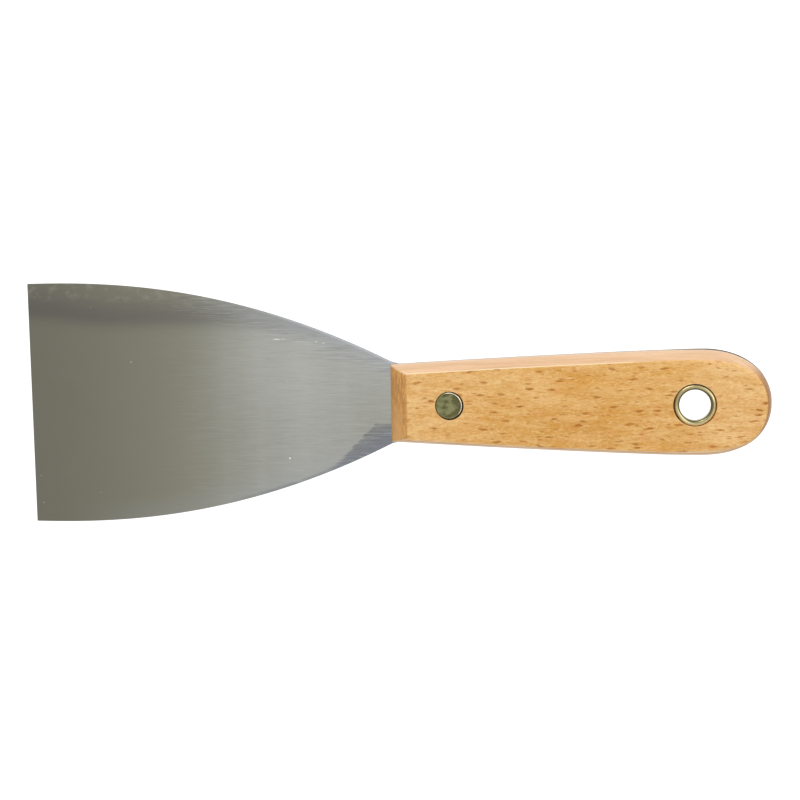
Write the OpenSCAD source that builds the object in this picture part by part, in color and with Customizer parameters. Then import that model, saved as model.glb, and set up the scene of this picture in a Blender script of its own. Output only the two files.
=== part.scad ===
// Flexible putty knife: one tapered steel blade with a full tang, two wooden scales,
// a two-part rivet near the blade and a brass eyelet that makes the hanging hole.
//
// Millimetres. +X runs from the cutting edge to the butt, +Z out of the front scale.
// Z = 0 is the outer face of the rear scale, on which the knife lies.

/* [Blade] */
// Width where the blade is widest, just behind the cutting edge
blade_w = 70.2; // [50:0.2:90]
// Length of the blade in front of the handle
blade_len = 107; // [95:1:120]
// Width where the blade enters the handle
root_w = 23.3; // [20:0.1:27]
// How far behind the cutting edge the blade is widest
widest_at = 5.6; // [0:0.2:20]
// How the flanks curve inwards: 1 is straight, and 2 is close to an arc
flank_curve = 2.17; // [1:0.01:3]
// Thickness at the cutting edge
edge_t = 0.5; // [0.4:0.1:1]
// Thickness of the tang and of the blade's root
tang_t = 1.2; // [1:0.1:2]
// Length of the full-thickness root in front of the handle
root_len = 9; // [2:1:20]

/* [Handle] */
// Length of the scales
handle_len = 104.5; // [95:0.5:120]
// Width where the handle is widest, just before the butt
handle_w = 29.2; // [27:0.2:34]
// Width at the blade end
front_w = 21.8; // [18:0.1:26]
// Length of the rounded butt
butt_len = 18.6; // [14:0.2:20]
// How full the butt is: 2 is an ellipse, and more is squarer
butt_fullness = 2.14; // [2:0.01:3]
// How the sides widen: 1 is straight, and 2 is a full curve
flare = 1.3; // [1:0.02:2]
// Thickness of one scale
scale_t = 9; // [8:0.5:12]
// How far the outer face is set in from the sides and the butt
side_inset = 2; // [1:0.1:2.6]
// Length of the sloping front end
front_slope = 5.7; // [2:0.1:8]

/* [Rivet] */
// Rivet centre behind the handle's front end
rivet_at = 17.5; // [15:0.5:30]
// Diameter of both heads
head_d = 7.4; // [6.4:0.1:9]
// Thickness of both heads
head_t = 1.5; // [1:0.1:2]
// Diameter of the socket's barrel
socket_d = 4.8; // [4:0.1:5.4]
// Diameter of the post
post_d = 3; // [2:0.1:3.2]

/* [Eyelet] */
// Eyelet centre behind the handle's front end
eyelet_at = 83.7; // [76:0.1:86]
// Diameter of the hanging hole
hole_d = 8.3; // [7:0.1:9]
// Thickness of the brass tube
tube_wall = 0.45; // [0.4:0.05:0.6]
// Outer diameter of the rolled flange and of the collar
flange_d = 11.3; // [10.8:0.1:12]
// Thickness of the collar
collar_t = 0.6; // [0.5:0.1:0.8]

/* [Hidden] */
ring_gap = 0.2;      // gap round each head and flange in its seat
bore_gap = 0.05;     // gap between a barrel and its hole
below_face = 0.1;    // depth of each head and flange below the wood
socket_floor = 1.4;  // solid metal between the socket's head and its bore
post_clear = 1;      // gap at the end of the post, and at the socket's mouth
edge_break = 0.3;    // chamfer round the rivet heads and the collar
reach = 40;          // longer than the handle is thick, for cuts
flank_steps = 36;    // points along each flank of the blade
side_steps = 18;     // points along each side of the handle's outline
butt_steps = 12;     // points along each quarter of the butt

blade_half_t = tang_t / 2;
half_t = blade_half_t + scale_t;
total_len = blade_len + handle_len;
shoulder = handle_len - butt_len;
flange_roll_r = (flange_d - hole_d) / 4;
tube_r = hole_d / 2 + tube_wall;
rivet_seat_t = head_t + below_face;
eyelet_seat_t = 2 * flange_roll_r + below_face;
tail_roll_r = (eyelet_seat_t - collar_t - below_face) / 2;

// The scale's section from the tang outwards: [share of the thickness, share of the inset]
section = [[0, 0], [0.3, 0.12], [0.65, 0.45], [0.92, 0.85], [1, 1]];

steel = [0.62, 0.62, 0.59];
beech = [0.86, 0.67, 0.42];
dull_brass = [0.47, 0.44, 0.29];
bright_brass = [0.80, 0.68, 0.42];

// ---- Outlines ----

// Half the blade's width at a distance s behind the cutting edge.
function half_blade(s) =
    (blade_w - (blade_w - root_w) * pow(abs(s - widest_at) / (blade_len - widest_at), flank_curve)) / 2;

// The blade in front of the handle, from one end of the cutting edge round to the other.
function blade_outline() =
    let (
        distances = [for (i = [0 : flank_steps]) blade_len * i / flank_steps],
        upper = [for (s = distances) [s - blade_len, half_blade(s)]]
    )
        concat(upper, [for (i = [flank_steps : -1 : 0]) [upper[i][0], -upper[i][1]]]);

// Half the handle's width at a distance t behind its front end, up to the shoulder.
function half_w(t) =
    (handle_w - (handle_w - front_w) * pow((shoulder - t) / shoulder, flare)) / 2;

// One long side, from the front end to just before the shoulder.
function side_points(inset, front) = [
    for (i = [0 : side_steps - 1])
        let (t = front + (shoulder - front) * i / side_steps) [t, half_w(t) - inset]
];

// The butt: half a superellipse from one shoulder to the other.
function butt_points(inset) = [
    for (i = [0 : 2 * butt_steps])
        let (a = 90 - 90 * i / butt_steps, power = 2 / butt_fullness)
            [
                shoulder + (butt_len - inset) * pow(max(cos(a), 0), power),
                (handle_w / 2 - inset) * sign(sin(a)) * pow(abs(sin(a)), power)
            ]
];

// The whole outline, set in by inset at the sides and the butt, and by front at the front end.
function outline(inset, front) =
    let (side = side_points(inset, front))
        concat(side, butt_points(inset), [for (i = [side_steps - 1 : -1 : 0]) [side[i][0], -side[i][1]]]);

// ---- Shared shapes: X from the handle's front end, Z from the middle of the tang ----

// Wood of one scale before drilling: a stack of outlines from the tang to the outer face.
module scale_blank() {
    n = 2 * (side_steps + butt_steps) + 1;
    last = len(section) - 1;
    points = [
        for (s = section, p = outline(s[1] * side_inset, s[1] * front_slope))
            [p[0], p[1], blade_half_t + s[0] * scale_t]
    ];
    walls = [
        for (k = [0 : last - 1], i = [0 : n - 1], upper = [false, true])
            let (a = k * n + i, b = k * n + (i + 1) % n)
                upper ? [a, b + n, a + n] : [a, b, b + n]
    ];
    inner = [for (i = [n - 1 : -1 : 0]) i];
    outer = [for (i = [0 : n - 1]) last * n + i];
    polyhedron(points, concat([inner, outer], walls));
}

// A through hole with a wider seat cut into the outer face.
module seated_hole(at, barrel_d, seat_d, seat_t) {
    translate([at, 0, 0]) {
        cylinder(d = barrel_d + 2 * bore_gap, h = reach, center = true, $fn = 96);
        translate([0, 0, half_t - seat_t])
            cylinder(d = seat_d + 2 * ring_gap, h = reach, $fn = 96);
    }
}

// One scale, drilled and seated for the rivet and the eyelet.
module wood_scale() {
    difference() {
        scale_blank();
        seated_hole(rivet_at, socket_d, head_d, rivet_seat_t);
        seated_hole(eyelet_at, 2 * tube_r, flange_d, eyelet_seat_t);
    }
}

// A flat rivet head with a broken outer edge, from its underside up to just below the face.
module rivet_head() {
    top = half_t - below_face;
    rotate_extrude($fn = 96)
        polygon([
            [0, top - head_t], [head_d / 2, top - head_t], [head_d / 2, top - edge_break],
            [head_d / 2 - edge_break, top], [0, top]
        ]);
}

// From the tang's frame to the knife's.
module in_place() {
    translate([blade_len - total_len / 2, 0, half_t]) children();
}

// ---- Nodes ----

module blade() {
    color(steel) in_place() {
        intersection() {
            rotate([90, 0, 0])
                linear_extrude(2 * blade_w, center = true)
                    polygon([
                        [-blade_len, -edge_t / 2], [-root_len, -blade_half_t], [0, -blade_half_t],
                        [0, blade_half_t], [-root_len, blade_half_t], [-blade_len, edge_t / 2]
                    ]);
            linear_extrude(2 * tang_t, center = true) polygon(blade_outline());
        }
        difference() {
            translate([0, 0, -blade_half_t]) linear_extrude(tang_t) polygon(outline(0, 0));
            seated_hole(rivet_at, socket_d, head_d, rivet_seat_t);
            seated_hole(eyelet_at, 2 * tube_r, flange_d, eyelet_seat_t);
        }
    }
}

module front_scale() {
    color(beech) in_place() wood_scale();
}

module rear_scale() {
    color(beech) in_place() mirror([0, 0, 1]) wood_scale();
}

// The rivet's front half: a head on a post that is pressed into the socket.
module rivet_post() {
    foot = below_face + socket_floor + head_t + post_clear - half_t;
    color(dull_brass) in_place() translate([rivet_at, 0, 0]) {
        rivet_head();
        translate([0, 0, foot])
            cylinder(d = post_d, h = half_t - below_face - head_t / 2 - foot, $fn = 64);
    }
}

// The rivet's rear half: a head on a barrel that the post enters.
module rivet_socket() {
    floor_z = below_face + head_t + socket_floor - half_t;
    mouth_z = half_t - rivet_seat_t - post_clear;
    color(dull_brass) in_place() translate([rivet_at, 0, 0])
        difference() {
            union() {
                mirror([0, 0, 1]) rivet_head();
                translate([0, 0, below_face + head_t / 2 - half_t])
                    cylinder(d = socket_d, h = mouth_z + half_t - below_face - head_t / 2, $fn = 96);
            }
            translate([0, 0, floor_z]) cylinder(d = post_d, h = reach, $fn = 64);
        }
}

// Brass tube with a rolled flange in front, and its tail rolled over the collar behind.
module eyelet() {
    flange_z = half_t - below_face - flange_roll_r;
    tail_z = below_face + tail_roll_r - half_t;
    color(bright_brass) in_place() translate([eyelet_at, 0, 0])
        rotate_extrude($fn = 96) {
            translate([hole_d / 2, tail_z]) square([tube_wall, flange_z - tail_z]);
            translate([hole_d / 2 + flange_roll_r, flange_z]) circle(flange_roll_r, $fn = 48);
            translate([hole_d / 2 + tail_roll_r, tail_z]) circle(tail_roll_r, $fn = 48);
        }
}

// Flat ring in the rear seat, which spreads the grip of the rolled tail.
module eyelet_collar() {
    low = below_face + 2 * tail_roll_r - half_t;
    inner = tube_r + bore_gap;
    color(bright_brass) in_place() translate([eyelet_at, 0, 0])
        rotate_extrude($fn = 96)
            polygon([
                [inner, low], [flange_d / 2 - edge_break, low], [flange_d / 2, low + edge_break],
                [flange_d / 2, low + collar_t], [inner, low + collar_t]
            ]);
}

blade();
front_scale();
rear_scale();
rivet_post();
rivet_socket();
eyelet();
eyelet_collar();
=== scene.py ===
import math

import bmesh
import bpy
from mathutils import Matrix, Vector


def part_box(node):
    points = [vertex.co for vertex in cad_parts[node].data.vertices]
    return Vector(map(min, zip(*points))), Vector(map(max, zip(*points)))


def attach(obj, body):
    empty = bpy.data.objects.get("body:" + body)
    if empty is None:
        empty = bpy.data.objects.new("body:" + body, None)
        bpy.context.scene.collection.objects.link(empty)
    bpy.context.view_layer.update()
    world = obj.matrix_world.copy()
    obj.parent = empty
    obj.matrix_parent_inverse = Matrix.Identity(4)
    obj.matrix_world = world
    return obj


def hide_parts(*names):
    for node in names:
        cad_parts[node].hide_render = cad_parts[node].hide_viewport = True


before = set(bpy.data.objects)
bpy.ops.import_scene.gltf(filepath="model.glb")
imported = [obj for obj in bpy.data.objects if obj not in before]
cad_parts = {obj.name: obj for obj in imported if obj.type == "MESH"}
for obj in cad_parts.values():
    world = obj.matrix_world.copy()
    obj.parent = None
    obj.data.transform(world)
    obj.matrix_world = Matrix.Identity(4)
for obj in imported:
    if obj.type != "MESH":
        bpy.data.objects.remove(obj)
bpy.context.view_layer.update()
MM = 0.001

# ---------------------------------------------------------------------------
# Sizes in millimetres, in the knife's own frame. X runs from the cutting edge to the butt, +Y is the upper
# side, and +Z points out of the front scale.
# In the functions, t is a distance behind the handle's front end, and s is one behind the cutting edge.
# ---------------------------------------------------------------------------
scale_lo, scale_hi = (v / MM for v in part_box("front_scale"))
blade_lo, blade_hi = (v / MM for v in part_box("blade"))
eye_lo, eye_hi = (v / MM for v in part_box("eyelet"))
head_lo, head_hi = (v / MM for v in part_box("rivet_post"))

# Handle
HANDLE_X, HANDLE_LEN = scale_lo.x, scale_hi.x - scale_lo.x
HANDLE_HALF, FRONT_HALF = scale_hi.y, 10.9
BUTT_LEN, BUTT_FULLNESS, FLARE = 18.6, 2.14, 1.3
SHOULDER = HANDLE_LEN - BUTT_LEN
# How far the outer face is set in from the upper side, the lower side and the front end
UPPER_INSET, LOWER_INSET, FRONT_SLOPE = 2.3, 1.6, 5.7
# The lower side takes its own inset from this distance off the long axis
LOWER_FADE = 8.0
# How the sides lean in from the tang outwards: 1 is evenly, and more is later
SECTION_CURVE = 1.9
# Radius of the front corners at the tang, and its growth up to the face
CORNER_R, CORNER_GROWTH = 0.35, 0.8

# Blade and tang
EDGE_X, BLADE_HALF, ROOT_HALF = blade_lo.x, blade_hi.y, 11.65
BLADE_LEN = HANDLE_X - EDGE_X
WIDEST_AT, FLANK_CURVE = 5.6, 2.17
EDGE_T, ROOT_LEN = 0.5, 9.0
TANG_LO, TANG_HI = blade_lo.z, blade_hi.z
MID_Z, TOP_Z = (TANG_LO + TANG_HI) / 2, scale_hi.z
STEEL_BEVEL = 0.1

# Rivet and eyelet
SEAT_X, EYE_X = (head_lo.x + head_hi.x) / 2, (eye_lo.x + eye_hi.x) / 2
# The rivet sits a little off the middle of its seat
RIVET_X = SEAT_X - 0.14
HEAD_R, HEAD_T = (head_hi.x - head_lo.x) / 2, 1.5
POST_R, POST_END, POST_TIP = 1.5, 4.0, 0.2
SOCKET_R, SOCKET_FLOOR, MOUTH_DEPTH = 2.4, 3.0, 1.1
FLANGE_R, HOLE_R = (eye_hi.x - eye_lo.x) / 2, 4.15
ROLL_R, TAIL_ROLL_R = (FLANGE_R - HOLE_R) / 2, 0.45
TUBE_R = HOLE_R + 0.45
COLLAR_EDGE = 0.3
HEAD_GAP, FLANGE_GAP, BORE_GAP, BELOW_FACE = 0.2, 0.09, 0.05, 0.1
# Broken edges at the mouths of the two seats
HEAD_LIP, FLANGE_LIP = 0.06, 0.10

# Mesh steps
FRONT_STEPS, CORNER_STEPS, SIDE_STEPS, BUTT_STEPS = 9, 6, 44, 40
SLOPE_LEVELS, ARRIS_LEVELS = 12, 7
BLADE_STEPS, ACROSS_STEPS = 56, 24


def limit(value):
    """Keep a value within 0..1."""
    return min(max(value, 0.0), 1.0)


def ease(value, start, end):
    """0 up to start and 1 from end on, with a smooth rise between them."""
    u = limit((value - start) / (end - start))
    return u * u * (3 - 2 * u)


# ---------------------------------------------------------------------------
# Mesh helpers
# ---------------------------------------------------------------------------
def shade(mesh, smooth_angle=30.0):
    """Shade a mesh smoothly, except across edges sharper than the angle."""
    mesh.shade_smooth()
    mesh.set_sharp_from_angle(angle=math.radians(smooth_angle))


def add_object(name, bm, smooth_angle=30.0):
    """Turn a bmesh in millimetres into a linked, smooth-shaded object in metres."""
    bmesh.ops.recalc_face_normals(bm, faces=bm.faces)
    bmesh.ops.scale(bm, vec=(MM, MM, MM), verts=bm.verts)
    mesh = bpy.data.meshes.new(name)
    bm.to_mesh(mesh)
    bm.free()
    shade(mesh, smooth_angle)
    obj = bpy.data.objects.new(name, mesh)
    bpy.context.scene.collection.objects.link(obj)
    return obj


def bridge(bm, lower, upper):
    """Join two closed loops of the same length with quads."""
    n = len(lower)
    for i in range(n):
        bm.faces.new((lower[i], lower[(i + 1) % n], upper[(i + 1) % n], upper[i]))


def solid_from_loops(name, loops):
    """Join a row of closed loops of points into one closed object."""
    bm = bmesh.new()
    rows = [[bm.verts.new(point) for point in loop] for loop in loops]
    for a, b in zip(rows, rows[1:]):
        bridge(bm, a, b)
    bm.faces.new(rows[0])
    bm.faces.new(rows[-1])
    return add_object(name, bm)


def lathe(name, profile, x, closed=False, segments=96, smooth_angle=30.0):
    """Revolve (radius, height) pairs round a vertical axis at x. A closed profile makes a ring."""
    bm = bmesh.new()
    columns = []
    for r, z in profile:
        if r < 1e-6:
            columns.append([bm.verts.new((x, 0, z))])
            continue
        steps = [2 * math.pi * k / segments for k in range(segments)]
        columns.append([bm.verts.new((x + r * math.cos(a), r * math.sin(a), z)) for a in steps])
    pairs = list(zip(columns, columns[1:]))
    if closed:
        pairs.append((columns[-1], columns[0]))
    for a, b in pairs:
        if len(a) == 1 or len(b) == 1:
            pole, ring = (a[0], b) if len(a) == 1 else (b[0], a)
            for k in range(segments):
                bm.faces.new((pole, ring[k], ring[(k + 1) % segments]))
        else:
            bridge(bm, a, b)
    return add_object(name, bm, smooth_angle)


def arc(cx, cz, r, start, end, steps):
    """Points on a circle from one angle to another, in degrees."""
    angles = [math.radians(start + (end - start) * k / steps) for k in range(steps + 1)]
    return [(cx + r * math.cos(a), cz + r * math.sin(a)) for a in angles]


def cut(obj, cutters):
    """Subtract the cutters from obj, apply the result and remove them."""
    for cutter in cutters:
        mod = obj.modifiers.new("cut", "BOOLEAN")
        mod.operation, mod.solver, mod.object = "DIFFERENCE", "EXACT", cutter
    bpy.context.view_layer.update()
    graph = bpy.context.evaluated_depsgraph_get()
    mesh = bpy.data.meshes.new_from_object(obj.evaluated_get(graph))
    obj.modifiers.clear()
    obj.data = mesh
    for cutter in cutters:
        bpy.data.objects.remove(cutter)
    shade(mesh)


# ---------------------------------------------------------------------------
# Wooden scales
# ---------------------------------------------------------------------------
def handle_half(t):
    """Half the handle's width, up to the shoulder."""
    rise = ((SHOULDER - t) / SHOULDER) ** FLARE
    return HANDLE_HALF - (HANDLE_HALF - FRONT_HALF) * rise


def scale_ring(profile):
    """One loop round a scale. profile(t) gives (side inset, front inset, corner radius, height)."""
    inset, front, corner, z = profile(0.0)
    half = handle_half(front) - inset
    upper = [(front, (half - corner) * k / FRONT_STEPS, z) for k in range(FRONT_STEPS)]
    start = front + corner
    for k in range(CORNER_STEPS + 1):
        a = math.radians(180 - 90 * k / CORNER_STEPS)
        y = handle_half(start) - inset - corner + corner * math.sin(a)
        upper.append((start + corner * math.cos(a), y, z))
    for k in range(1, SIDE_STEPS):
        t = start + (SHOULDER - start) * k / SIDE_STEPS
        inset, _, _, z = profile(t)
        upper.append((t, handle_half(t) - inset, z))
    power = 2 / BUTT_FULLNESS
    for k in range(BUTT_STEPS + 1):
        a = math.radians(90 - 90 * k / BUTT_STEPS)
        c, s = max(math.cos(a), 0.0), max(math.sin(a), 0.0)
        inset, _, _, z = profile(SHOULDER + BUTT_LEN * c)
        upper.append((SHOULDER + (BUTT_LEN - inset) * c**power, (HANDLE_HALF - inset) * s**power, z))
    lower = [(x, -y, z) for x, y, z in upper[-2:0:-1]]
    return upper + lower


def widen_below(ring, inset):
    """The lower side is sanded a little less than the upper one, so it stands further out."""
    gain = inset * (1 - LOWER_INSET / UPPER_INSET)
    return [(x, y - gain * min(-y / LOWER_FADE, 1.0) if y < 0 else y, z) for x, y, z in ring]


def arris_radius(t):
    """How far the arris is rounded: crisp along the sides, soft round the butt."""
    return 0.45 + 0.75 * ease(t, 74.0, 100.0)


def butt_trim(t):
    """The face comes closer to the outline at the end of the butt."""
    return 0.65 * ease(t, 88.0, 102.0)


def tang_ledge(t):
    """Beside the butt the steel tang stands a hair proud of the wood."""
    return 0.04 + 0.20 * limit(min((t - 76.0) / 12.0, (104.0 - t) / 8.0))


def section_at(level, r, thick):
    """One level of a scale's section, as (share of the inset, part of the arris, share of the thickness).

    level runs from 0 at the tang to 1 where the arris starts, and on to 2 at the outer face.
    """
    slope_top = 1 - 0.9 * r / thick
    if level <= 1:
        height = slope_top * level
        return height**SECTION_CURVE, 0.0, height
    f = level - 1
    lean = (1 - f) ** 2 * slope_top**SECTION_CURVE + 2 * f * (1 - f) + f * f
    height = (1 - f) ** 2 * slope_top + 2 * f * (1 - f) + f * f
    return lean, f * f, height


def seat_cutter(x, bore, seat, floor, lip, facing):
    """A bore with a wider seat above its floor. Heights count from the middle of the tang."""
    face, past = TOP_Z - MID_Z, 2.0
    points = [(0, -past), (bore, -past), (bore, floor), (seat, floor), (seat, face - lip)]
    points += [(seat + lip, face + 0.001), (seat + lip, face + past), (0, face + past)]
    return lathe("cutter", [(r, MID_Z + facing * z) for r, z in points], x)


def make_scale(name, facing):
    """facing is +1 for the front scale and -1 for the rear one."""
    thick, half_tang, mid_handle = TOP_Z - TANG_HI, TANG_HI - MID_Z, 30.0
    levels = [k / SLOPE_LEVELS for k in range(SLOPE_LEVELS + 1)]
    levels += [1 + k / ARRIS_LEVELS for k in range(1, ARRIS_LEVELS + 1)]
    loops = []
    for level in levels:
        def profile(t, level=level):
            r = arris_radius(t)
            lean, arris, height = section_at(level, r, thick)
            side = (UPPER_INSET - butt_trim(t)) * lean + arris * r + tang_ledge(t)
            return side, FRONT_SLOPE * lean + arris * r, CORNER_R + CORNER_GROWTH * lean, height * thick

        ring = widen_below(scale_ring(profile), profile(mid_handle)[0])
        loops.append([(HANDLE_X + x, y, MID_Z + facing * (half_tang + z)) for x, y, z in ring])
    obj = solid_from_loops(name, loops)
    head_floor = head_hi.z - HEAD_T - MID_Z
    flange_floor = TOP_Z - 2 * ROLL_R - BELOW_FACE - MID_Z
    cut(obj, [
        seat_cutter(SEAT_X, SOCKET_R + BORE_GAP, HEAD_R + HEAD_GAP, head_floor, HEAD_LIP, facing),
        seat_cutter(EYE_X, TUBE_R + BORE_GAP, FLANGE_R + FLANGE_GAP, flange_floor, FLANGE_LIP, facing),
    ])
    return obj


# ---------------------------------------------------------------------------
# Blade and tang
# ---------------------------------------------------------------------------
def blade_half(s):
    """Half the blade's width."""
    fall = (abs(s - WIDEST_AT) / (BLADE_LEN - WIDEST_AT)) ** FLANK_CURVE
    return BLADE_HALF - (BLADE_HALF - ROOT_HALF) * fall


def blade_stations():
    """(x, half width, half thickness) from the cutting edge to the end of the tang."""
    tang = TANG_HI - TANG_LO
    stations = []
    for k in range(BLADE_STEPS + 1):
        s = BLADE_LEN * k / BLADE_STEPS
        share = min(s / (BLADE_LEN - ROOT_LEN), 1.0)
        stations.append((EDGE_X + s, blade_half(s), (EDGE_T + (tang - EDGE_T) * share) / 2))
    # The tang follows the scales' outline from behind its rounded front corner
    outline = scale_ring(lambda t: (0.0, 0.0, CORNER_R, 0.0))
    sides = [(x, y) for x, y, _ in outline if x > 2 * CORNER_R and y > 1e-6]
    return stations + [(HANDLE_X + x, y, tang / 2) for x, y in sides]


def make_blade():
    """Blade and tang in one, with every long edge a little broken."""
    loops = []
    for x, w, h in blade_stations():
        c = min(STEEL_BEVEL, h * 0.4, w * 0.5)
        columns = [-(w - c) + 2 * (w - c) * k / ACROSS_STEPS for k in range(ACROSS_STEPS + 1)]
        loop = [(x, y, MID_Z + h) for y in columns]
        loop += [(x, w, MID_Z + h - c), (x, w, MID_Z - h + c)]
        loop += [(x, -y, MID_Z - h) for y in columns]
        loop += [(x, -w, MID_Z - h + c), (x, -w, MID_Z + h - c)]
        loops.append(loop)
    obj = solid_from_loops("steel_blade", loops)
    z0, z1 = TANG_LO - 1, TANG_HI + 1
    cut(obj, [
        lathe("cutter", [(0, z0), (r, z0), (r, z1), (0, z1)], x)
        for x, r in ((SEAT_X, SOCKET_R + BORE_GAP), (EYE_X, TUBE_R + BORE_GAP))
    ])
    return obj


# ---------------------------------------------------------------------------
# Rivet and eyelet
# ---------------------------------------------------------------------------
def head_profile(top):
    """A shallow domed head with a rolled rim, from its underside's edge to the middle of its face."""
    rim, step, drop, dome, dome_steps = 0.28, 0.14, 0.04, 0.03, 8
    points = [(HEAD_R, top - HEAD_T)] + arc(HEAD_R - rim, top - rim, rim, 0, 120, 8)
    face_r, face_z = points[-1][0] - step, points[-1][1] - drop
    for k in range(dome_steps + 1):
        out = 1 - k / dome_steps
        points.append((face_r * out, face_z + dome * (1 - out**2)))
    return points


def make_rivets():
    """The front half is a head on a post, and the rear half is a head on a barrel that takes the post."""
    top = head_hi.z
    post = [(0, POST_END), (POST_R - POST_TIP, POST_END), (POST_R, POST_END + POST_TIP)]
    post += [(POST_R, top - HEAD_T)] + head_profile(top)
    mouth = top - HEAD_T - MOUTH_DEPTH
    socket = [(r, 2 * MID_Z - z) for r, z in reversed(head_profile(top))]
    socket += [(SOCKET_R, 2 * MID_Z - top + HEAD_T), (SOCKET_R, mouth)]
    socket += [(POST_R, mouth), (POST_R, SOCKET_FLOOR), (0, SOCKET_FLOOR)]
    return lathe("rivet_front", post, RIVET_X), lathe("rivet_rear", socket, RIVET_X)


def make_eyelet():
    """A tube with a rolled flange in front and a rolled tail behind, and the collar under the tail."""
    flange_z, tail_z = TOP_Z - BELOW_FACE - ROLL_R, eye_lo.z + TAIL_ROLL_R
    profile = arc(HOLE_R + ROLL_R, flange_z, ROLL_R, 180, -60, 20)
    # The flange's underside runs into the tube in two short steps
    profile += [(TUBE_R + 0.12, flange_z - ROLL_R * 0.72), (TUBE_R, flange_z - ROLL_R * 0.9)]
    profile += [(TUBE_R, tail_z + 0.5)]
    profile += arc(HOLE_R + TAIL_ROLL_R, tail_z, TAIL_ROLL_R, 40, -180, 14)
    eyelet = lathe("brass_eyelet", profile, EYE_X, closed=True, segments=128, smooth_angle=45)
    lo, hi = (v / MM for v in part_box("eyelet_collar"))
    inner, outer = TUBE_R + BORE_GAP, (hi.x - lo.x) / 2
    edge = outer - COLLAR_EDGE
    ring = [(inner, lo.z), (edge, lo.z)] + arc(edge, lo.z + COLLAR_EDGE, COLLAR_EDGE, -60, 0, 4)
    ring += [(outer, hi.z), (inner, hi.z)]
    return eyelet, lathe("brass_collar", ring, EYE_X, closed=True, segments=128)


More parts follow.
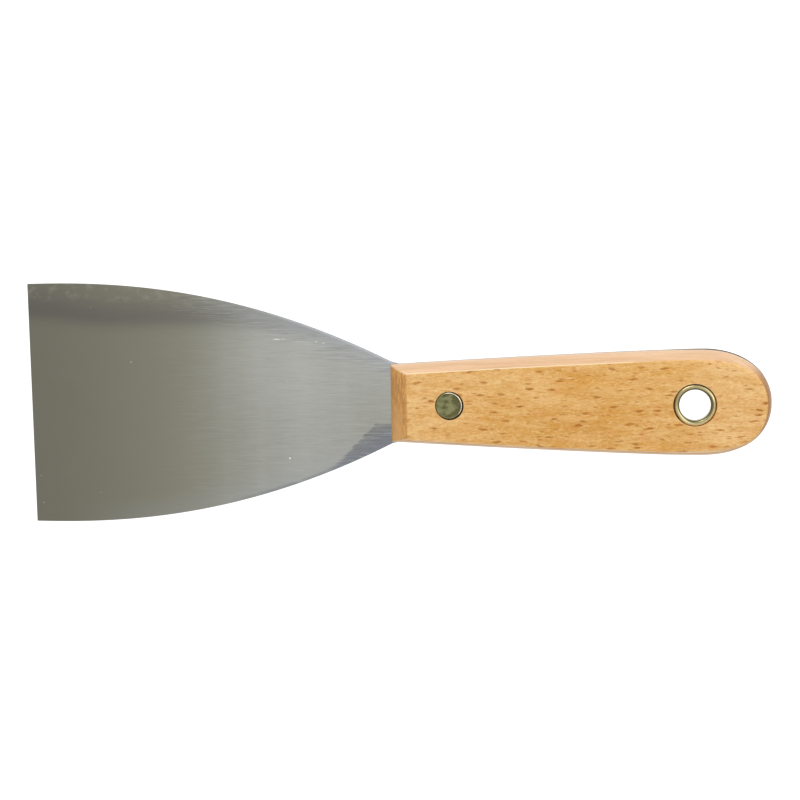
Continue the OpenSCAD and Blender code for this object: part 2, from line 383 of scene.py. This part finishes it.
# ---------------------------------------------------------------------------
# Material helpers
# ---------------------------------------------------------------------------
class Graph:
    """A material's node tree, with short calls for the nodes used here. Lengths are millimetres."""

    def __init__(self, name, shift=(0, 0, 0)):
        """shift moves every noise, so that two pieces of one material differ."""
        self.mat = bpy.data.materials.new(name)
        self.mat.use_nodes = True
        self.tree = self.mat.node_tree
        self.tree.nodes.clear()
        self.shift = shift
        self.bsdf = self.node("ShaderNodeBsdfPrincipled")
        self.link(self.bsdf.outputs["BSDF"], self.node("ShaderNodeOutputMaterial").inputs["Surface"])
        self.coord = self.node("ShaderNodeTexCoord")

    def node(self, kind, **props):
        n = self.tree.nodes.new(kind)
        for key, value in props.items():
            setattr(n, key, value)
        return n

    def link(self, a, b):
        self.tree.links.new(a, b)

    def feed(self, value, socket):
        """Link a socket to another one, or set it to a plain value."""
        if isinstance(value, bpy.types.NodeSocket):
            self.link(value, socket)
        else:
            socket.default_value = value

    def split(self, vector):
        n = self.node("ShaderNodeSeparateXYZ")
        self.link(vector, n.inputs["Vector"])
        return n.outputs

    def stretched(self, stretch=(1, 1, 1), turn=0.0, shift=(0, 0, 0)):
        """The place on the piece, stretched per axis, turned about Z in degrees, and shifted."""
        n = self.node("ShaderNodeMapping")
        n.inputs["Scale"].default_value = [s / MM for s in stretch]
        n.inputs["Rotation"].default_value = (0, 0, math.radians(turn))
        n.inputs["Location"].default_value = shift
        self.link(self.coord.outputs["Object"], n.inputs["Vector"])
        return n.outputs["Vector"]

    def place(self):
        """X, Y and Z of the place on the piece."""
        return self.split(self.stretched())

    def normal(self):
        """X, Y and Z of the direction in which the piece's surface faces there."""
        return self.split(self.coord.outputs["Normal"])

    def noise(self, stretch, detail=3.0, rough=0.5, distort=0.0, turn=0.0, shift=None):
        """Noise round 0.5. The stretch is the number of its features in a millimetre, per axis."""
        n = self.node("ShaderNodeTexNoise")
        self.link(self.stretched(stretch, turn, shift or self.shift), n.inputs["Vector"])
        n.inputs["Scale"].default_value = 1.0
        n.inputs["Detail"].default_value = detail
        n.inputs["Roughness"].default_value = rough
        n.inputs["Distortion"].default_value = distort
        return n.outputs["Fac"]

    def cells(self, vector, exponent=None):
        """Flat cells: the distance to the nearest one's own point, and its three random numbers."""
        n = self.node("ShaderNodeTexVoronoi", voronoi_dimensions="2D")
        if exponent:
            n.distance = "MINKOWSKI"
            n.inputs["Exponent"].default_value = exponent
        n.inputs["Scale"].default_value = 1.0
        self.link(vector, n.inputs["Vector"])
        return n.outputs["Distance"], self.split(n.outputs["Color"])

    def math(self, op, a, b=0.0, clamp=False):
        n = self.node("ShaderNodeMath", operation=op, use_clamp=clamp)
        for value, socket in zip((a, b), n.inputs):
            self.feed(value, socket)
        return n.outputs[0]

    def times(self, first, *others):
        for other in others:
            first = self.math("MULTIPLY", first, other)
        return first

    def plus(self, a, b):
        return self.math("ADD", a, b)

    def minus(self, a, b):
        return self.math("SUBTRACT", a, b)

    def over(self, a, b, clamp=False):
        return self.math("DIVIDE", a, b, clamp)

    def power(self, a, b):
        return self.math("POWER", a, b)

    def larger(self, a, b):
        return self.math("MAXIMUM", a, b)

    def size(self, a):
        """The value without its sign."""
        return self.math("ABSOLUTE", a)

    def bell(self, a):
        """1 where the value is 0, and a smooth fall on both sides."""
        return self.power(math.e, self.times(a, a, -1.0))

    def ramp(self, value, lo, hi, to_lo=0.0, to_hi=1.0):
        """Map lo..hi to to_lo..to_hi, smoothly and clamped."""
        n = self.node("ShaderNodeMapRange", interpolation_type="SMOOTHSTEP")
        self.feed(value, n.inputs["Value"])
        for key, v in (("From Min", lo), ("From Max", hi), ("To Min", to_lo), ("To Max", to_hi)):
            self.feed(v, n.inputs[key])
        return n.outputs["Result"]

    def mix(self, share, a, b):
        """The colour a, with the given share of the colour b."""
        n = self.node("ShaderNodeMix", data_type="RGBA", blend_type="MIX")
        self.feed(share, n.inputs["Factor"])
        for value, socket in ((a, n.inputs["A"]), (b, n.inputs["B"])):
            self.feed(value if isinstance(value, bpy.types.NodeSocket) else (*value, 1.0), socket)
        return n.outputs["Result"]

    def lay(self, tone, layers, within=None):
        """Lay colours over a tone, one after the other, and only within a mask if there is one.

        A layer is a value, the value where the colour starts, the one where it is strongest, its share there,
        and the colour.
        """
        for value, start, full, share, colour in layers:
            cover = self.ramp(value, start, full, 0.0, share)
            if within is not None:
                cover = self.times(cover, within)
            tone = self.mix(cover, tone, colour)
        return tone

    def from_axis(self, x, y, axis_x):
        """The way from a vertical axis to a place: its part along X, and its length."""
        dx = self.minus(x, axis_x)
        return dx, self.math("SQRT", self.plus(self.times(dx, dx), self.times(y, y)))

    def surface(self, tone, roughness, **values):
        """Feed the shader. Each further keyword is the name of one of its inputs, with _ for a space."""
        self.link(tone, self.bsdf.inputs["Base Color"])
        self.link(roughness, self.bsdf.inputs["Roughness"])
        for key, value in values.items():
            self.bsdf.inputs[key.replace("_", " ")].default_value = value

    def bump(self, height, strength, distance):
        n = self.node("ShaderNodeBump")
        n.inputs["Strength"].default_value = strength
        n.inputs["Distance"].default_value = distance * MM
        self.link(height, n.inputs["Height"])
        self.link(n.outputs["Normal"], self.bsdf.inputs["Normal"])


# ---------------------------------------------------------------------------
# Wood: beech, with the grain along X
# ---------------------------------------------------------------------------
def flecks(g, shift, cell, share, core, turn):
    """Beech flecks: short tapered dashes along the grain, one in some of the cells.

    cell is a cell's length and width, share the part of the cells that may hold a fleck, core the largest
    fleck's size in cells, and turn the flecks' slant in degrees.
    """
    drift = g.noise((0.10, 0.25, 0.05), 1.0, shift=shift)
    warp = g.node("ShaderNodeCombineXYZ")
    g.link(g.times(g.minus(drift, 0.5), 1.6), warp.inputs["Y"])
    warped = g.node("ShaderNodeVectorMath", operation="ADD")
    g.link(g.stretched((1 / cell[0], 1 / cell[1], 0.0), turn, shift), warped.inputs[0])
    g.link(warp.outputs[0], warped.inputs[1])
    distance, pick = g.cells(warped.outputs[0], exponent=1.35)
    ragged = g.noise((1.9, 3.6, 0.4), 3.0, 0.65, shift=shift)
    reach = g.plus(distance, g.times(g.minus(ragged, 0.28), 0.34))
    size = g.ramp(pick[0], 1 - share, 1 - share * 0.3, 0.0, core)
    mark = g.ramp(g.minus(size, reach), -0.05, 0.08)
    return g.times(mark, g.ramp(pick[1], 0.0, 1.0, 0.72, 1.0))


def fleck_mask(g):
    """Large and small flecks, strong on the flat faces and faint on the sides."""
    small_shift = (g.shift[0] + 5, g.shift[1] + 9, 0)
    large = flecks(g, g.shift, (6.4, 1.65), 0.68, 0.285, 9.0)
    small = flecks(g, small_shift, (4.2, 1.05), 0.5, 0.27, 4.0)
    flat = g.ramp(g.size(g.normal()[2]), 0.6, 0.95, 0.10, 1.0)
    return g.times(g.larger(large, g.times(small, 0.7)), flat)


def beech_tone(g, streak, grain, pores):
    """Sawn beech: deeper in the middle of the handle, paler at its ends, then streaks, grain and pores."""
    x, y, _ = g.place()
    broad = g.noise((0.035, 0.11, 0.11), 2.0)
    tone = g.mix(g.ramp(broad, 0.36, 0.64), (0.83, 0.495, 0.175), (0.74, 0.37, 0.078))
    heart = g.bell(g.over(g.minus(x, 60.0), 28.0))
    heart = g.times(heart, g.ramp(y, 5.0, -2.5), g.ramp(y, -12.5, -8.0, 0.3, 1.0))
    tone = g.mix(g.times(heart, g.ramp(streak, 0.3, 0.6, 0.3, 0.95)), tone, (0.67, 0.325, 0.062))
    ends = g.larger(g.ramp(x, 76.0, 92.0, 0.0, 0.65), g.ramp(x, 42.0, 10.0, 0.0, 0.5))
    tone = g.mix(ends, tone, (0.91, 0.59, 0.27))
    speckle = g.noise((1.0, 3.4, 3.4), 3.0, 0.75)
    patch = g.noise((0.12, 0.50, 0.50), 4.0, 0.75)
    blush = g.noise((0.22, 0.55, 0.55), 3.0, 0.6)
    return g.lay(tone, [
        (streak, 0.40, 0.70, 0.40, (0.66, 0.33, 0.085)),
        (grain, 0.50, 0.70, 0.60, (0.54, 0.245, 0.05)),
        (grain, 0.50, 0.30, 0.42, (0.92, 0.62, 0.28)),
        (speckle, 0.52, 0.66, 0.42, (0.50, 0.235, 0.055)),
        (speckle, 0.48, 0.34, 0.50, (0.97, 0.71, 0.37)),
        (pores, 0.55, 0.75, 0.20, (0.45, 0.20, 0.045)),
        (patch, 0.54, 0.36, 0.26, (0.96, 0.66, 0.32)),
        (patch, 0.48, 0.64, 0.26, (0.66, 0.30, 0.045)),
        (blush, 0.52, 0.70, 0.30, (0.80, 0.36, 0.13)),
    ])


def front_end_grain_and_shade(g, tone):
    """End grain on the sloping front end, darker partly for the end grain's own colour and partly as painted
    shade on the forward-facing slope, and paler towards its front and the lower side.
    """
    x, y, _ = g.place()
    ring = g.noise((1.7, 0.42, 1.7), 3.0, 0.65, turn=24.0)
    end_tone = g.mix(g.ramp(ring, 0.36, 0.62), (0.78, 0.40, 0.12), (0.48, 0.215, 0.065))
    pale_share = g.times(g.ramp(x, 6.5, 3.5), g.ramp(y, 4.0, -6.0), 0.7)
    end_tone = g.mix(pale_share, end_tone, (0.78, 0.43, 0.17))
    forward = g.times(g.normal()[0], -1.0)
    return g.mix(g.times(g.ramp(forward, 0.25, 0.55), 0.8), tone, end_tone)


def side_light_and_shade(g, tone):
    """Painted light and shade: the upper side is painted paler as lit, most of all beside the tang, and the
    lower side and the butt are painted darker as shade.
    """
    z = g.place()[2]
    nx, ny, _ = g.normal()
    lines = g.ramp(g.noise((0.05, 0.5, 0.8), 3.0, 0.6), 0.35, 0.65)
    lit_upper_tone = g.mix(lines, (0.785, 0.52, 0.335), (0.66, 0.418, 0.25))
    lit_near_tang = g.ramp(g.size(g.minus(z, MID_Z)), 5.5, 0.8, 0.0, 0.5)
    lit_upper_tone = g.mix(lit_near_tang, lit_upper_tone, (0.76, 0.60, 0.45))
    tone = g.mix(g.times(g.ramp(ny, 0.45, 0.9), 0.8), tone, lit_upper_tone)
    shaded_lower_tone = g.mix(lines, (0.70, 0.43, 0.235), (0.54, 0.31, 0.155))
    tone = g.mix(g.times(g.ramp(g.times(ny, -1.0), 0.25, 0.8), 0.75), tone, shaded_lower_tone)
    # The butt is painted dark as shade.
    return g.mix(g.times(g.ramp(nx, 0.45, 0.85), 0.88), tone, (0.31, 0.13, 0.036))


def arris_highlights(g, tone, streak):
    """The arrises carry a painted pale highlight, the upper one nearly up to the shoulder and the lower one
    on to the butt.
    """
    x, ny = g.place()[0], g.normal()[1]
    side = g.size(ny)
    arris = g.times(g.ramp(side, 0.22, 0.45), g.ramp(side, 0.85, 0.6))
    behind_front, uneven = g.ramp(x, 3.0, 8.0, 0.3, 1.0), g.ramp(streak, 0.30, 0.46, 0.3, 1.0)
    lower = g.times(g.ramp(ny, 0.0, -0.2), g.ramp(x, 104.0, 82.0))
    highlight_reach = g.larger(g.ramp(x, 78.0, 64.0), lower)
    strength = g.ramp(ny, -0.2, 0.2, 0.85, 0.75)
    pale_share = g.times(arris, behind_front, uneven, highlight_reach, strength)
    return g.mix(pale_share, tone, (0.98, 0.82, 0.58))


def seat_shade(g, tone):
    """The wood inside the rivet's seat is painted dark as shade, most of all towards the butt and the lower
    side.
    """
    x, y, _ = g.place()
    dx, radius = g.from_axis(x, y, SEAT_X)
    away = g.over(g.minus(g.times(dx, 0.86), g.times(y, 0.5)), radius)
    depth = g.ramp(away, -0.6, 0.3, 0.35, 0.92)
    seat = HEAD_R + HEAD_GAP
    return g.mix(g.times(g.ramp(radius, seat + 0.10, seat + 0.02), depth), tone, (0.05, 0.024, 0.010))


def wood_material(name, seed):
    g = Graph(name, (seed * 31.0, seed * 17.0, seed * 7.0))
    streak = g.noise((0.06, 0.75, 0.75), 3.0, 0.6, 0.3)
    grain = g.noise((0.5, 2.2, 2.2), 4.0, 0.72, 0.4)
    pores = g.noise((1.1, 7.0, 7.0), 2.0, 0.6)
    fleck = fleck_mask(g)
    fleck_tone = g.mix(g.ramp(grain, 0.42, 0.58), (0.38, 0.145, 0.018), (0.55, 0.195, 0.035))
    tone = g.mix(g.times(fleck, 0.95), beech_tone(g, streak, grain, pores), fleck_tone)
    tone = side_light_and_shade(g, front_end_grain_and_shade(g, tone))
    tone = seat_shade(g, arris_highlights(g, tone, streak))
    g.surface(tone, g.ramp(streak, 0.3, 0.7, 0.38, 0.50), Specular_IOR_Level=0.12)
    height = g.plus(g.times(pores, 0.4), g.times(fleck, -0.6))
    g.bump(g.plus(height, g.times(grain, 0.5)), 0.3, 0.05)
    return g.mat


# ---------------------------------------------------------------------------
# Steel: X runs from the cutting edge at EDGE_X to the handle at HANDLE_X, and on along the tang
# ---------------------------------------------------------------------------
# Nicks in the blade, painted bright as glints: X and Y of the middle, half length, half width and strength
NICKS = [
    (-31.5, 18.2, 1.1, 0.15, 0.85),
    (-29.6, 18.2, 0.7, 0.10, 0.6),
    (-28.5, -16.0, 0.3, 0.3, 0.85),
    (-20.0, 17.5, 0.3, 0.15, 0.6),
    (-18.0, 17.0, 0.25, 0.2, 0.6),
    (-75.0, 12.0, 0.3, 0.3, 0.3),
    (-104.0, -21.5, 0.4, 0.15, 0.25),
    (-103.5, -29.5, 0.4, 0.15, 0.35),
]


class BladeGraph(Graph):
    """The blade's node tree, with the values that its layers share."""

    def __init__(self):
        super().__init__("brushed_blade_steel")
        self.x, self.y, _ = self.place()
        self.brush = self.noise((0.10, 1.4, 1.4), 4.0, 0.7)
        self.hair = self.noise((0.14, 3.8, 3.8), 4.0, 0.7, turn=0.6)
        # The brushing shows more and more towards the handle
        self.brushed = self.ramp(self.x, -75.0, -22.0, 0.05, 1.3)
        # 1 in front of the handle and 0 between the scales
        self.ahead = self.ramp(self.x, 1.6, 1.2)
        # How far a place lies inside the lower and the upper flank
        behind = self.size(self.minus(self.x, EDGE_X + WIDEST_AT))
        fall = self.power(self.over(behind, BLADE_LEN - WIDEST_AT), FLANK_CURVE)
        flank = self.minus(BLADE_HALF, self.times(fall, BLADE_HALF - ROOT_HALF))
        self.from_lower, self.from_upper = self.plus(flank, self.y), self.minus(flank, self.y)


def steel_reflection_tone(g):
    """Warm grey at the cutting edge, painted lighter towards the handle as a reflection, with a painted sheen
    across the upper middle.
    """
    x, y = g.x, g.y
    tone = g.mix(g.ramp(x, -105.0, -62.0), (0.272, 0.262, 0.203), (0.300, 0.290, 0.222))
    tone = g.mix(g.ramp(x, -68.0, -23.0), tone, (0.388, 0.393, 0.363))
    lower_root = g.times(g.ramp(x, -22.0, 0.0), g.ramp(y, 14.0, -10.0))
    tone = g.mix(lower_root, tone, (0.325, 0.325, 0.287))
    ripple = g.ramp(g.noise((0.10, 0.003, 0.0), 2.0), 0.4, 0.65, 0.0, 0.10)
    tone = g.mix(g.times(ripple, g.ramp(x, -60.0, -35.0)), tone, (0.56, 0.56, 0.52))
    sheen = g.times(g.ramp(x, -60.0, -33.0), g.ramp(x, -8.0, -26.0), g.ramp(y, -12.0, 12.0), 0.32)
    tone = g.mix(sheen, tone, (0.56, 0.57, 0.54))
    cloud = g.noise((0.05, 0.09, 0.09), 3.0)
    return g.lay(tone, [(cloud, 0.3, 0.7, 0.08, (0.32, 0.32, 0.28))])


def brush_marks(g, tone):
    """Pale brushing, with dark and bright hairlines in it."""
    return g.lay(tone, [
        (g.brush, 0.35, 0.75, 0.24, (0.55, 0.55, 0.51)),
        (g.hair, 0.5, 0.75, 0.22, (0.22, 0.22, 0.20)),
        (g.hair, 0.5, 0.25, 0.20, (0.66, 0.66, 0.63)),
    ], g.brushed)


def upper_reflection_band(g, tone):
    """Along the upper flank runs a soft darker band, a painted reflection, which fades towards the handle,
    with scuffs over it.
    """
    x = g.x
    middle = g.plus(g.ramp(x, -62.0, -15.0, 24.9, 22.2), g.ramp(x, -80.0, -106.0, 0.0, 2.6))
    above = g.plus(g.minus(g.y, middle), g.times(g.minus(g.brush, 0.5), 2.4))
    band = g.bell(g.over(above, g.ramp(above, -0.6, 0.6, 2.9, 5.2)))
    tone = g.mix(g.times(band, g.ramp(x, -60.0, -32.0, 0.62, 0.32)), tone, (0.165, 0.160, 0.150))
    scuffed = g.times(g.ramp(g.from_upper, 9.0, 3.0), g.ramp(x, -75.0, -50.0))
    return g.lay(tone, [
        (g.hair, 0.5, 0.68, 0.36, (0.19, 0.19, 0.18)),
        (g.hair, 0.5, 0.32, 0.34, (0.64, 0.64, 0.62)),
    ], scuffed)


def root_reflection_wedge(g, tone):
    """Beside the handle the steel below a curved line is painted darker and bluer, as a painted reflection.

    A thin strip of that painted reflection runs on along the lower flank.
    """
    wedge_end, wedge_len, wedge_rise, wedge_low = -3.5, 22.0, 16.0, 22.0
    x = g.x
    along = g.over(g.minus(wedge_end, x), wedge_len, clamp=True)
    line = g.minus(g.times(g.power(g.minus(1.0, along), 1.5), wedge_rise), wedge_low)
    wander = g.times(g.minus(g.brush, 0.5), g.ramp(x, -20.0, -4.0, 1.6, 4.0))
    below = g.plus(g.minus(line, g.y), wander)
    wedge = g.times(g.ramp(below, -0.3, g.ramp(x, -16.0, -8.0, 2.4, 0.5)), g.ramp(x, -28.0, -22.0))
    strip = g.times(g.ramp(g.from_lower, 1.3, 0.4, 0.0, 0.8), g.ramp(x, -52.0, -30.0))
    wedge_reflection_tone = g.mix(g.ramp(g.from_lower, 6.5, 0.5), (0.215, 0.218, 0.212), (0.10, 0.108, 0.150))
    wedge_reflection_tone = g.lay(wedge_reflection_tone, [
        (g.hair, 0.5, 0.34, 0.7, (0.40, 0.41, 0.42)),
        (g.hair, 0.5, 0.66, 0.6, (0.11, 0.11, 0.11)),
    ])
    share = g.times(g.larger(wedge, strip), g.ahead, g.ramp(x, -24.0, -4.0, 0.65, 0.9))
    return g.mix(share, tone, wedge_reflection_tone)


def flank_tones(g, tone):
    """A painted highlight along the upper edge near the handle, and cooler steel along both flanks."""
    edge_highlight = g.times(g.ramp(g.from_upper, 0.8, 0.15), g.ramp(g.x, -45.0, -22.0), 0.5)
    tone = g.mix(edge_highlight, tone, (0.85, 0.87, 0.90))
    upper = g.times(g.ramp(g.from_upper, 7.0, 0.0), g.ramp(g.x, -62.0, -20.0), 0.45)
    tone = g.mix(upper, tone, (0.36, 0.38, 0.42))
    lower = g.times(g.ramp(g.from_lower, 8.0, 0.0), g.ramp(g.x, -98.0, -70.0), 0.3)
    return g.mix(lower, tone, (0.40, 0.42, 0.43))


def glinting_specks_and_nicks(g, tone):
    """Scattered faint specks, and the nicks listed above: real marks, painted bright as glints."""
    distance, pick = g.cells(g.stretched((0.07, 0.11, 0.0)))
    size = g.ramp(pick[0], 0.72, 1.0, 0.0, 0.018)
    speck = g.ramp(g.minus(size, distance), -0.008, 0.008)
    tone = g.mix(g.times(speck, 0.2), tone, (0.85, 0.85, 0.82))
    for nick_x, nick_y, half_l, half_w, strength in NICKS:
        u = g.over(g.minus(g.x, nick_x), half_l)
        v = g.over(g.minus(g.y, nick_y), half_w)
        ragged = g.plus(g.plus(g.times(u, u), g.times(v, v)), g.times(g.hair, 0.8))
        tone = g.lay(tone, [(ragged, 1.7, 0.9, strength, (0.86, 0.86, 0.83))])
    return tone


def stains(g, tone):
    """Pale stains along the upper flank, towards the cutting edge."""
    stain = g.ramp(g.noise((0.30, 0.42, 0.42), 4.0, 0.7), 0.48, 0.64)
    stain = g.times(stain, g.ramp(g.from_upper, 6.0, 2.5), g.ramp(g.x, -40.0, -80.0, 0.0, 0.38))
    return g.mix(stain, tone, (0.44, 0.42, 0.36))


def bare_edges(g, tone):
    """The narrow faces of the blade and the tang are dark."""
    edge = g.ramp(g.size(g.normal()[2]), 0.8, 0.3)
    edge_tone = g.mix(g.ahead, (0.085, 0.085, 0.09), (0.16, 0.17, 0.19))
    return g.mix(g.times(edge, g.ramp(g.x, 0.0, 2.0, 0.7, 0.92)), tone, edge_tone)


def tang_rim(g, tone):
    """The tang is dark along its outline, where it stands proud of the wood."""
    t = g.minus(g.x, HANDLE_X)
    rise = g.power(g.over(g.minus(SHOULDER, t), SHOULDER, clamp=True), FLARE)
    half = g.minus(HANDLE_HALF, g.times(rise, HANDLE_HALF - FRONT_HALF))
    along = g.power(g.over(g.minus(t, SHOULDER), BUTT_LEN, clamp=True), BUTT_FULLNESS)
    aside = g.power(g.over(g.size(g.y), half), BUTT_FULLNESS)
    rim = g.times(g.ramp(g.plus(along, aside), 0.955, 0.97), g.ramp(t, 50.0, 72.0), 0.92)
    return g.mix(rim, tone, (0.07, 0.07, 0.075))


def steel_material():
    g = BladeGraph()
    tone = steel_reflection_tone(g)
    for layer in (brush_marks, upper_reflection_band, root_reflection_wedge, flank_tones, glinting_specks_and_nicks, stains):
        tone = layer(g, tone)
    tone = tang_rim(g, bare_edges(g, tone))
    uneven = g.times(g.minus(g.brush, 0.5), g.brushed)
    g.surface(tone, g.plus(g.times(uneven, 0.2), 0.30), Metallic=1.0)
    g.bump(g.times(g.plus(g.brush, g.times(g.hair, 0.5)), g.brushed), 0.15, 0.01)
    return g.mat


# ---------------------------------------------------------------------------
# Brass
# ---------------------------------------------------------------------------
def rivet_material():
    """Dull greenish brass with smudges. The heads' rims carry a painted highlight towards the butt and the
    upper side.
    """
    g = Graph("dull_rivet_brass")
    x, y, _ = g.place()
    dx, radius = g.from_axis(x, y, RIVET_X)
    smudge = g.noise((0.55, 0.75, 0.75), 3.0, 0.6)
    fine = g.noise((4.0, 4.0, 4.0), 3.0)
    tone = g.mix(g.ramp(smudge, 0.38, 0.62), (0.235, 0.24, 0.115), (0.135, 0.125, 0.055))
    tone = g.lay(tone, [(fine, 0.55, 0.75, 0.4, (0.11, 0.10, 0.045))])
    toward = g.over(g.plus(g.times(dx, 0.86), g.times(y, 0.5)), radius)
    rim_highlight_tone = g.mix(g.ramp(toward, 0.15, 0.5), (0.30, 0.28, 0.13), (1.0, 0.92, 0.68))
    tone = g.mix(g.times(g.ramp(radius, HEAD_R - 0.42, HEAD_R - 0.22), 0.9), tone, rim_highlight_tone)
    g.surface(tone, g.ramp(smudge, 0.3, 0.7, 0.25, 0.42), Metallic=1.0)
    g.bump(fine, 0.25, 0.02)
    return g.mat


def eyelet_material():
    """Bright brass, painted duller above as shade and brighter below as a highlight (in Y), with a throat
    painted dark as shade and the bore wall painted near-white as painted light.
    """
    g = Graph("bright_eyelet_brass")
    x, y, z = g.place()
    dx, radius = g.from_axis(x, y, EYE_X)
    smudge = g.noise((0.5, 0.5, 0.5), 3.0, 0.6)
    fine = g.noise((5.0, 5.0, 5.0), 3.0)
    lower = g.over(g.minus(g.times(dx, 0.35), g.times(y, 0.94)), radius)
    tone = g.mix(g.ramp(smudge, 0.35, 0.7), (0.72, 0.62, 0.35), (0.56, 0.47, 0.24))
    # After the fine smudges: painted shade above and a painted highlight below.
    tone = g.lay(tone, [
        (fine, 0.55, 0.75, 0.25, (0.33, 0.26, 0.11)),
        (lower, 0.1, -0.7, 0.5, (0.30, 0.25, 0.11)),
        (lower, 0.15, 0.75, 0.8, (1.0, 0.90, 0.52)),
    ])
    # The throat is painted dark as shade, wider towards the butt and the lower side
    toward = g.over(g.minus(g.times(dx, 0.8), g.times(y, 0.6)), radius)
    widened = g.ramp(toward, -0.4, 0.8, 0.0, 0.45)
    throat = g.ramp(g.minus(radius, widened), HOLE_R + 0.50, HOLE_R + 0.20)
    tone = g.mix(g.times(throat, 0.85), tone, (0.17, 0.14, 0.055))
    # 0 on the upright wall of the tube, and 1 on the rolled parts
    rolled = g.ramp(g.size(g.normal()[2]), 0.04, 0.3)
    # The bore wall is painted near-white as painted light.
    bore = g.times(g.ramp(rolled, 1.0, 0.0), g.ramp(z, TOP_Z - 2.2, TOP_Z - 3.4))
    tone = g.mix(bore, tone, (0.99, 0.98, 0.94))
    g.surface(tone, g.ramp(rolled, 0.0, 1.0, 0.08, 0.32), Metallic=1.0)
    g.bump(fine, 0.08, 0.01)
    return g.mat


# ---------------------------------------------------------------------------
# Build the knife
# ---------------------------------------------------------------------------
def fit_out(obj, material, slot, *nodes):
    """Give a piece its material, and say which CAD nodes it replaces and what it rides on."""
    obj.data.materials.clear()
    obj.data.materials.append(material)
    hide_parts(*nodes)
    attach(obj, "root")


rivet_brass, eyelet_brass = rivet_material(), eyelet_material()
fit_out(make_blade(), steel_material(), "steel", "blade")
fit_out(make_scale("front_wood", 1), wood_material("beech_front", 0.0), "wood_front", "front_scale")
fit_out(make_scale("rear_wood", -1), wood_material("beech_rear", 3.0), "wood_rear", "rear_scale")
for piece, node in zip(make_rivets(), ("rivet_post", "rivet_socket")):
    fit_out(piece, rivet_brass, "rivet", node)
for piece, node in zip(make_eyelet(), ("eyelet", "eyelet_collar")):
    fit_out(piece, eyelet_brass, "eyelet", node)

# ---------------------------------------------------------------------------
# Stage: pale floor, soft lights, camera and sky. Places and sizes of the floor and the lights are metres
# ---------------------------------------------------------------------------
FLOOR_GLOW, SKY_GLOW = 1.2, 0.5
FLOOR_HALF, FLOOR_DROP = 40.0, 0.0002


def make_floor():
    """A floor that glows a little past white, so that it shows plain white."""
    bm = bmesh.new()
    bmesh.ops.create_grid(bm, x_segments=1, y_segments=1, size=FLOOR_HALF)
    mesh = bpy.data.meshes.new("floor")
    bm.to_mesh(mesh)
    bm.free()
    floor = bpy.data.objects.new("floor", mesh)
    floor.location.z = -FLOOR_DROP
    bpy.context.scene.collection.objects.link(floor)
    mat = bpy.data.materials.new("pale_floor")
    mat.use_nodes = True
    tree = mat.node_tree
    tree.nodes.clear()
    out = tree.nodes.new("ShaderNodeOutputMaterial")
    emit = tree.nodes.new("ShaderNodeEmission")
    emit.inputs["Color"].default_value = (1, 1, 1, 1)
    emit.inputs["Strength"].default_value = FLOOR_GLOW
    tree.links.new(emit.outputs[0], out.inputs["Surface"])
    mesh.materials.append(mat)


def soft_box(name, place, target, size, radiance):
    """A rectangular area light with the given radiance, aimed at the target."""
    data = bpy.data.lights.new(name, "AREA")
    data.shape, data.size, data.size_y = "RECTANGLE", size[0], size[1]
    data.energy = radiance * 4 * size[0] * size[1]
    obj = bpy.data.objects.new(name, data)
    obj.location = place
    obj.rotation_mode = "QUATERNION"
    obj.rotation_quaternion = (Vector(target) - Vector(place)).to_track_quat("-Z", "Y")
    bpy.context.scene.collection.objects.link(obj)


def make_camera():
    """The view is nearly straight down on the front scale, from a little to the butt's and the upper side."""
    lean_x, lean_y, roll, distance, lens = 0.149, 0.099, -0.0025, 396.0, 63.0
    aim = Vector((HANDLE_X + 2.4, 0.69, MID_Z)) * MM
    back = Vector((lean_x, lean_y, 0.0))
    back.z = math.sqrt(1 - back.length_squared)
    level = Vector((1, 0, 0)) - back * back.x
    level.normalize()
    upright = back.cross(level)
    right = level * math.cos(roll) + upright * math.sin(roll)
    up = upright * math.cos(roll) - level * math.sin(roll)
    data = bpy.data.cameras.new("camera")
    data.lens, data.sensor_width = lens, 36.0
    data.clip_start, data.clip_end = 0.01, 100.0
    camera = bpy.data.objects.new("camera", data)
    bpy.context.scene.collection.objects.link(camera)
    turn = Matrix((right, up, back)).transposed().to_4x4()
    camera.matrix_world = Matrix.Translation(aim + back * distance * MM) @ turn
    bpy.context.scene.camera = camera


def make_sky():
    """An even white sky, and colours shown as they are."""
    scene = bpy.context.scene
    world = bpy.data.worlds.new("studio")
    scene.world = world
    world.use_nodes = True
    sky = world.node_tree.nodes["Background"]
    sky.inputs["Color"].default_value = (1, 1, 1, 1)
    sky.inputs["Strength"].default_value = SKY_GLOW
    scene.view_settings.view_transform = "Standard"


make_floor()
soft_box("overhead", (0.06, -0.10, 1.2), (0.06, -0.10, 0), (0.96, 0.9), 0.45)
soft_box("key_back", (-0.35, 1.0, 0.9), (0, 0, 0), (0.6, 0.6), 4.4)
soft_box("fill_right", (0.80, 0.45, 0.85), (0, 0, 0), (0.8, 0.8), 1.6)
make_camera()
make_sky()
